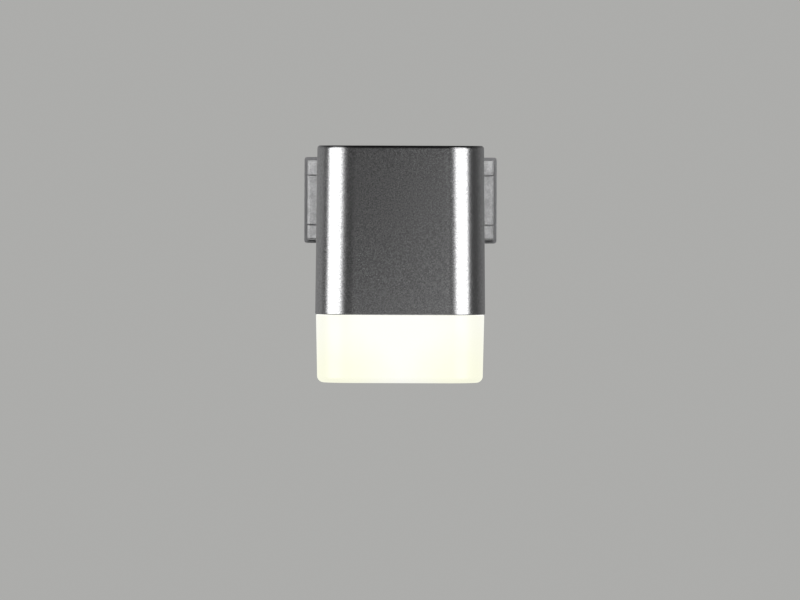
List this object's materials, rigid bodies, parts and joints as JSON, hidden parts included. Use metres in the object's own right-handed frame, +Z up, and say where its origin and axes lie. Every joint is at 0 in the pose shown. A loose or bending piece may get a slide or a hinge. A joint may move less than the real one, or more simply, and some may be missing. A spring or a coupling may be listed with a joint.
{
  "type": "track spotlight",
  "caption": "Square satin-metal wall-track spotlight with a round-cornered head, an opal light cup below it and a slide-lock track adapter.",
  "frame": {"origin": "centre of the adapter's seat, in the plane of the track's front face", "axes": "+Z up, +X along the track, +Y into the track and the wall; the head stands out towards -Y"},
  "size_m": [0.0752, 0.0828, 0.0914],
  "materials": {
    "satin_metal": "satin, fine even grain",
    "silver_adapter": "silver-grey paint with a fine sandy texture",
    "opal": "opal white, lit from inside",
    "zinc": "die-cast zinc, satin",
    "steel": "zinc-plated",
    "brass": "satin",
    "copper": "copper, satin",
    "aluminium": "extruded, matt",
    "black_plastic": "fine matt",
    "white_plastic": "semi-matt",
    "fibre": "pressed fibre, matt",
    "circuit_board": "green solder mask",
    "white_board": "white solder mask on an aluminium core",
    "ferrite": "sintered, matt",
    "capacitor_sleeve": "shrink sleeve",
    "coil_tape": "yellow polyester tape",
    "thermal_pad": "soft silicone",
    "emitter": "clear dome over yellow phosphor",
    "grey_sheath": "silicone sheath",
    "red_lead": "silicone insulation",
    "black_lead": "silicone insulation",
    "green_lead": "silicone insulation"
  },
  "bodies": {
    "adapter": {"adapter_housing": "silver_adapter", "tongue_frame": "black_plastic", "tongue_cap": "black_plastic", "tongue_screw_1": "steel", "tongue_screw_2": "steel", "tongue_screw_3": "steel", "tongue_screw_4": "steel", "earth_contact": "brass", "supply_cable": "grey_sheath", "threaded_stem": "zinc", "swivel_collar": "zinc", "friction_washer": "fibre", "wave_washer": "steel", "stop_washer": "steel", "swivel_nut": "zinc"},
    "head": {"chassis_bracket": "steel", "chassis_screw_1": "steel", "chassis_screw_2": "steel", "chassis_screw_3": "steel", "chassis_screw_4": "steel", "choke": "copper", "diffuser_clip_front": "steel", "diffuser_clip_left": "steel", "diffuser_clip_rear": "steel", "diffuser_clip_right": "steel", "driver_board": "circuit_board", "driver_lid": "white_plastic", "driver_tray": "white_plastic", "earth_lead": "green_lead", "earth_lug": "brass", "engine_screw_1": "steel", "engine_screw_2": "steel", "engine_screw_3": "steel", "engine_screw_4": "steel", "head_shell": "satin_metal", "heat_sink": "aluminium", "input_capacitor": "capacitor_sleeve", "led_board": "white_board", "led_emitter_1": "emitter", "led_emitter_2": "emitter", "led_emitter_3": "emitter", "led_emitter_4": "emitter", "led_lead_negative": "black_lead", "led_lead_positive": "red_lead", "mains_cable": "grey_sheath", "output_capacitor": "capacitor_sleeve", "reflector": "white_plastic", "stop_pin": "steel", "terminal_block": "white_plastic", "thermal_pad": "thermal_pad", "transformer_coil": "coil_tape", "transformer_core": "ferrite"},
    "slide": {"locking_slide": "silver_adapter"},
    "left_cam": {"locking_cam": "zinc", "locking_cam_pinion": "zinc"},
    "right_cam": {"contact_cam": "white_plastic", "contact_cam_pinion": "white_plastic", "live_contact": "copper", "neutral_contact": "copper"},
    "diffuser": {"diffuser": "opal"}
  },
  "joints": [
    {"name": "head_swivel", "type": "hinge", "parent": "adapter", "child": "head", "pos_m": [0, -0.0087, 0], "axis": [0, 1, 0], "range_deg": [-160, 160]},
    {"name": "lock_slide", "type": "slide", "parent": "adapter", "child": "slide", "axis": [1, 0, 0], "range_m": [0, 0.00628]},
    {"name": "locking_cam_turn", "type": "hinge", "parent": "adapter", "child": "left_cam", "pos_m": [-0.024, 0.0055, 0], "axis": [0, 1, 0], "range_deg": [0, 90]},
    {"name": "contact_cam_turn", "type": "hinge", "parent": "adapter", "child": "right_cam", "pos_m": [0.024, 0.0055, 0], "axis": [0, 1, 0], "range_deg": [0, 90]},
    {"name": "diffuser_pull", "type": "slide", "parent": "head", "child": "diffuser", "axis": [0, 0, -1], "range_m": [0, 0.006]}
  ],
  "couplings": [
    {"joint": "locking_cam_turn", "follows": "lock_slide", "rad_per_m": 250},
    {"joint": "contact_cam_turn", "follows": "lock_slide", "rad_per_m": 250}
  ]
}
